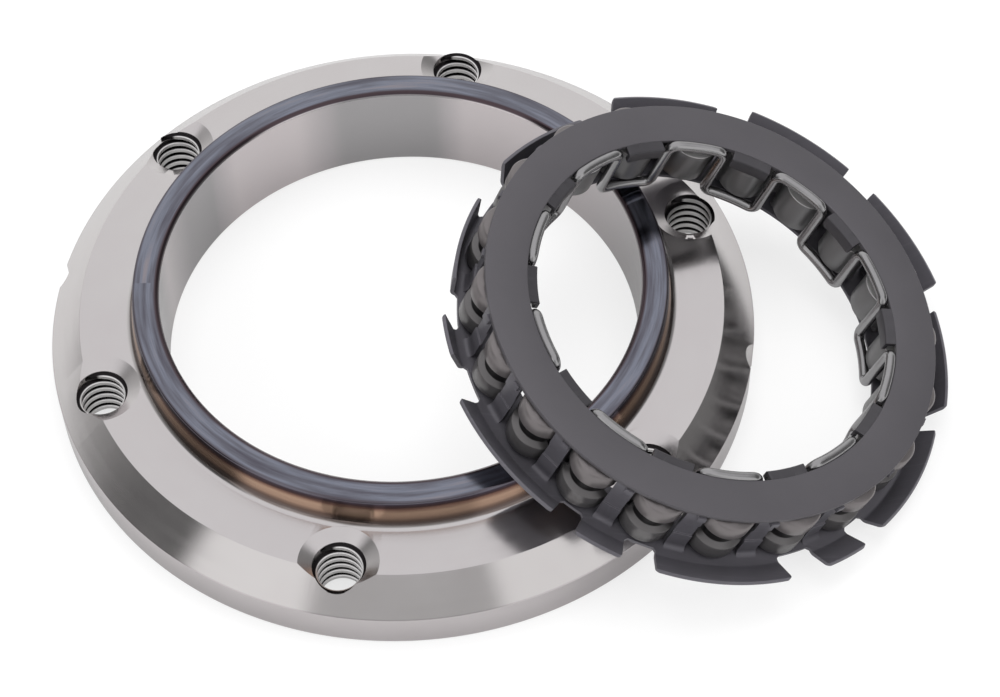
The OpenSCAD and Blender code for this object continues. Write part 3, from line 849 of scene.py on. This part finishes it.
def sprag_finish():
    """Tumbled bearing steel, dark towards the hub: paler upper land over a painted shadow in its outer
    groove, painted shade below, and a painted highlight on the inner head's step.
    """
    finish, tree, shader = new_finish("sprag_steel")
    oxide = use_group(tree, black_oxide, Scale=1.6)
    land = mixed_colour(tree, oxide.outputs["Tone"], LAND_DARK, LAND_LIGHT)
    lower_shade = mixed_colour(tree, oxide.outputs["Tone"], LOWER_SHADE_DARK, LOWER_SHADE_LIGHT)
    height = add(tree, "Attribute", attribute_name="height").outputs["Fac"]
    # Painted shadow over the groove and painted shade below it, on the outer face
    above = mixed_colour(tree, step_up(tree, height, SHADE_HIGH - 0.1, SHADE_HIGH + 0.1), GROOVE_SHADOW, land)
    outer = mixed_colour(tree, step_up(tree, height, SHADE_LOW - 0.1, SHADE_LOW + 0.1), lower_shade, above)
    # Painted highlight on the inner side from the head's step upward
    head_highlight = step_up(tree, height, HEAD_HIGH - 0.16, HEAD_HIGH - 0.08)
    inner = mixed_colour(tree, head_highlight, INNER_GREY, INNER_HIGHLIGHT)
    reach = add(tree, "Attribute", attribute_name="reach").outputs["Fac"]
    colour = mixed_colour(tree, step_up(tree, reach, 33.5, 34.5), inner, outer)
    tree.links.new(colour, shader.inputs["Base Color"])
    rough = add(tree, "MapRange", {0: oxide.outputs["Tone"], 3: 0.26, 4: 0.42}).outputs[0]
    tree.links.new(rough, shader.inputs["Roughness"])
    shader.inputs["Metallic"].default_value = 0.6
    bump = add(tree, "Bump", {"Strength": 0.3, "Distance": 0.015 * MM, "Height": oxide.outputs["Height"]})
    tree.links.new(bump.outputs[0], shader.inputs["Normal"])
    return finish


master = new_piece("sprag_master", *sprag_part(), crease=26)
step_tools = together([box_part((INNER_REACH - 1, -HEAD_HALF, HEAD_HIGH), (HEAD_R, HEAD_HALF, CAGE_H + 2)),
                       box_part((INNER_REACH - 1, -HEAD_HALF, CUT_FROM - 1), (HEAD_R, HEAD_HALF, HEAD_LOW))])
machined(master, new_piece("step_tool", *step_tools), "DIFFERENCE")
broken_edges(master, 0.1, crease=50)
master.data.materials.clear()
master.data.materials.append(sprag_finish())
for k in range(SPRAG_COUNT):
    name = "sprag_%02d" % (k + 1)
    piece = bpy.data.objects.new("strut_%02d" % (k + 1), master.data.copy())
    bpy.context.scene.collection.objects.link(piece)
    piece.data.transform(Matrix.Rotation(FIRST_SPRAG + k * WINDOW_PITCH, 4, "Z"))
    in_cage(piece)
    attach(piece, name)
    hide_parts(name)
bpy.data.objects.remove(master)

# Studio: a plain white floor, a pale surround and soft lamps, with the camera where the photograph was
# taken. The surround is white to the camera, and to glosses a band of soft boxes with darker gaps.
PHOTO_WIDTH = 1000
FOCAL_PIXELS = 2649
CAMERA_ELEVATION = math.radians(54.402)
CAMERA_ROLL = math.radians(-1.482)
CAMERA_DISTANCE = 0.4078
AIM_ACROSS = 0.015355
AIM_UP = -0.011095
LIP_TOP = Vector((0, 0, LIP_H * MM))
# How bright the surround's band is at bearings in degrees, as glosses see it, fitted to the photograph
SOFT_BOXES = [(-180, 0.22), (-171, 0.14), (-153, 0.13), (-148, 1.0), (-120, 1.0), (-115, 0.52), (-69, 0.5),
              (-64, 0.95), (-35, 0.95), (-25, 0.16), (14, 0.2), (38, 0.3), (60, 0.75), (80, 0.9), (125, 0.9),
              (150, 0.55), (165, 0.42), (176, 0.27), (180, 0.22)]
CEILING_FROM = math.radians(40)
CEILING_FULL = math.radians(50)
CEILING_TONE = (0.86, 0.853, 0.868)
EVEN_TONE = (0.8, 0.8, 0.8)
FLOOR_HALF = 3000
FLOOR_DROP = 0.02

level_right = Vector((1, 0, 0))
level_up = Vector((0, math.sin(CAMERA_ELEVATION), math.cos(CAMERA_ELEVATION)))
back = Vector((0, -math.cos(CAMERA_ELEVATION), math.sin(CAMERA_ELEVATION)))
right = level_right * math.cos(CAMERA_ROLL) + level_up * math.sin(CAMERA_ROLL)
up = level_up * math.cos(CAMERA_ROLL) - level_right * math.sin(CAMERA_ROLL)
lens = bpy.data.cameras.new("photo_camera")
lens.sensor_width = 36
lens.lens = lens.sensor_width * FOCAL_PIXELS / PHOTO_WIDTH
lens.clip_start = 0.01
lens.clip_end = 20
camera = bpy.data.objects.new("photo_camera", lens)
bpy.context.scene.collection.objects.link(camera)
turn = Matrix((right, up, back)).transposed().to_4x4()
aim = LIP_TOP + right * AIM_ACROSS + up * AIM_UP
camera.matrix_world = Matrix.Translation(aim + back * CAMERA_DISTANCE) @ turn
bpy.context.scene.camera = camera


def meets_background(tree, *rays):
    """1 for the kinds of ray that should meet the plain white background."""
    path = add(tree, "LightPath")
    found = 0.0
    for ray in rays:
        found = reckon(tree, "MAXIMUM", found, path.outputs["Is %s Ray" % ray])
    return found


def floor_finish():
    """A white sweep that stays white to the eye and in glosses, and keeps a soft share of the shadow."""
    finish, tree, shader = new_finish("white_sweep")
    shader.inputs["Base Color"].default_value = (0.9, 0.9, 0.9, 1)
    shader.inputs["Roughness"].default_value = 0.9
    shader.inputs["Specular IOR Level"].default_value = 0.0
    direct = meets_background(tree, "Camera", "Transmission")
    glossy = meets_background(tree, "Glossy")
    share = reckon(tree, "MAXIMUM", reckon(tree, "MULTIPLY", direct, 0.72),
                   reckon(tree, "MULTIPLY", glossy, 0.5))
    strength = reckon(tree, "MULTIPLY_ADD", glossy, -0.55, 1.0)
    glow = add(tree, "Emission", {"Color": (1, 1, 1, 1), "Strength": strength})
    blend = add(tree, "MixShader", {0: share, 1: shader.outputs[0], 2: glow.outputs[0]})
    tree.links.new(blend.outputs[0], tree.nodes["Material Output"].inputs["Surface"])
    return finish


def surround():
    """The world: white to the camera, even soft light, and soft boxes with dark gaps for glosses."""
    world = bpy.data.worlds.new("surround")
    bpy.context.scene.world = world
    world.use_nodes = True
    tree = world.node_tree
    sky = tree.nodes["Background"]
    towards = add(tree, "SeparateXYZ", {0: add(tree, "TexCoord").outputs["Generated"]})
    bearing = reckon(tree, "ARCTAN2", towards.outputs[1], towards.outputs[0])
    share = reckon(tree, "MULTIPLY_ADD", bearing, 1 / (2 * math.pi), 0.5)
    boxes = coloured(tree, share, [((degrees + 180) / 360, (tone,) * 3) for degrees, tone in SOFT_BOXES])
    high = step_up(tree, towards.outputs[2], math.sin(CEILING_FROM), math.sin(CEILING_FULL))
    band = mixed_colour(tree, high, boxes, CEILING_TONE)
    even = mixed_colour(tree, meets_background(tree, "Glossy"), EVEN_TONE, band)
    tone = mixed_colour(tree, meets_background(tree, "Camera", "Transmission"), even, (1.0, 1.0, 1.0))
    tree.links.new(tone, sky.inputs["Color"])


def soft_box(name, place, size, power):
    """A square soft lamp that faces the object. The surround stands for it in glosses."""
    lamp = bpy.data.lights.new(name, "AREA")
    lamp.size = size
    lamp.energy = power
    box = bpy.data.objects.new(name, lamp)
    box.location = place
    box.rotation_euler = (Vector((0.01, 0, 0)) - Vector(place)).to_track_quat("-Z", "Y").to_euler()
    box.visible_glossy = False
    bpy.context.scene.collection.objects.link(box)


surround()
floor_corners = [(x * FLOOR_HALF, y * FLOOR_HALF, 0) for x, y in ((-1, -1), (1, -1), (1, 1), (-1, 1))]
floor = new_piece("floor", floor_corners, [(0, 1, 2, 3)])
floor.location.z = -FLOOR_DROP * MM
floor.data.materials.append(floor_finish())
soft_box("top_box", (0.05, 0.25, 0.9), 0.7, 5.0)
soft_box("left_box", (-0.6, -0.45, 0.5), 0.35, 2.5)
soft_box("right_box", (0.7, -0.2, 0.45), 0.35, 2.0)
bpy.context.scene.view_settings.view_transform = "Standard"
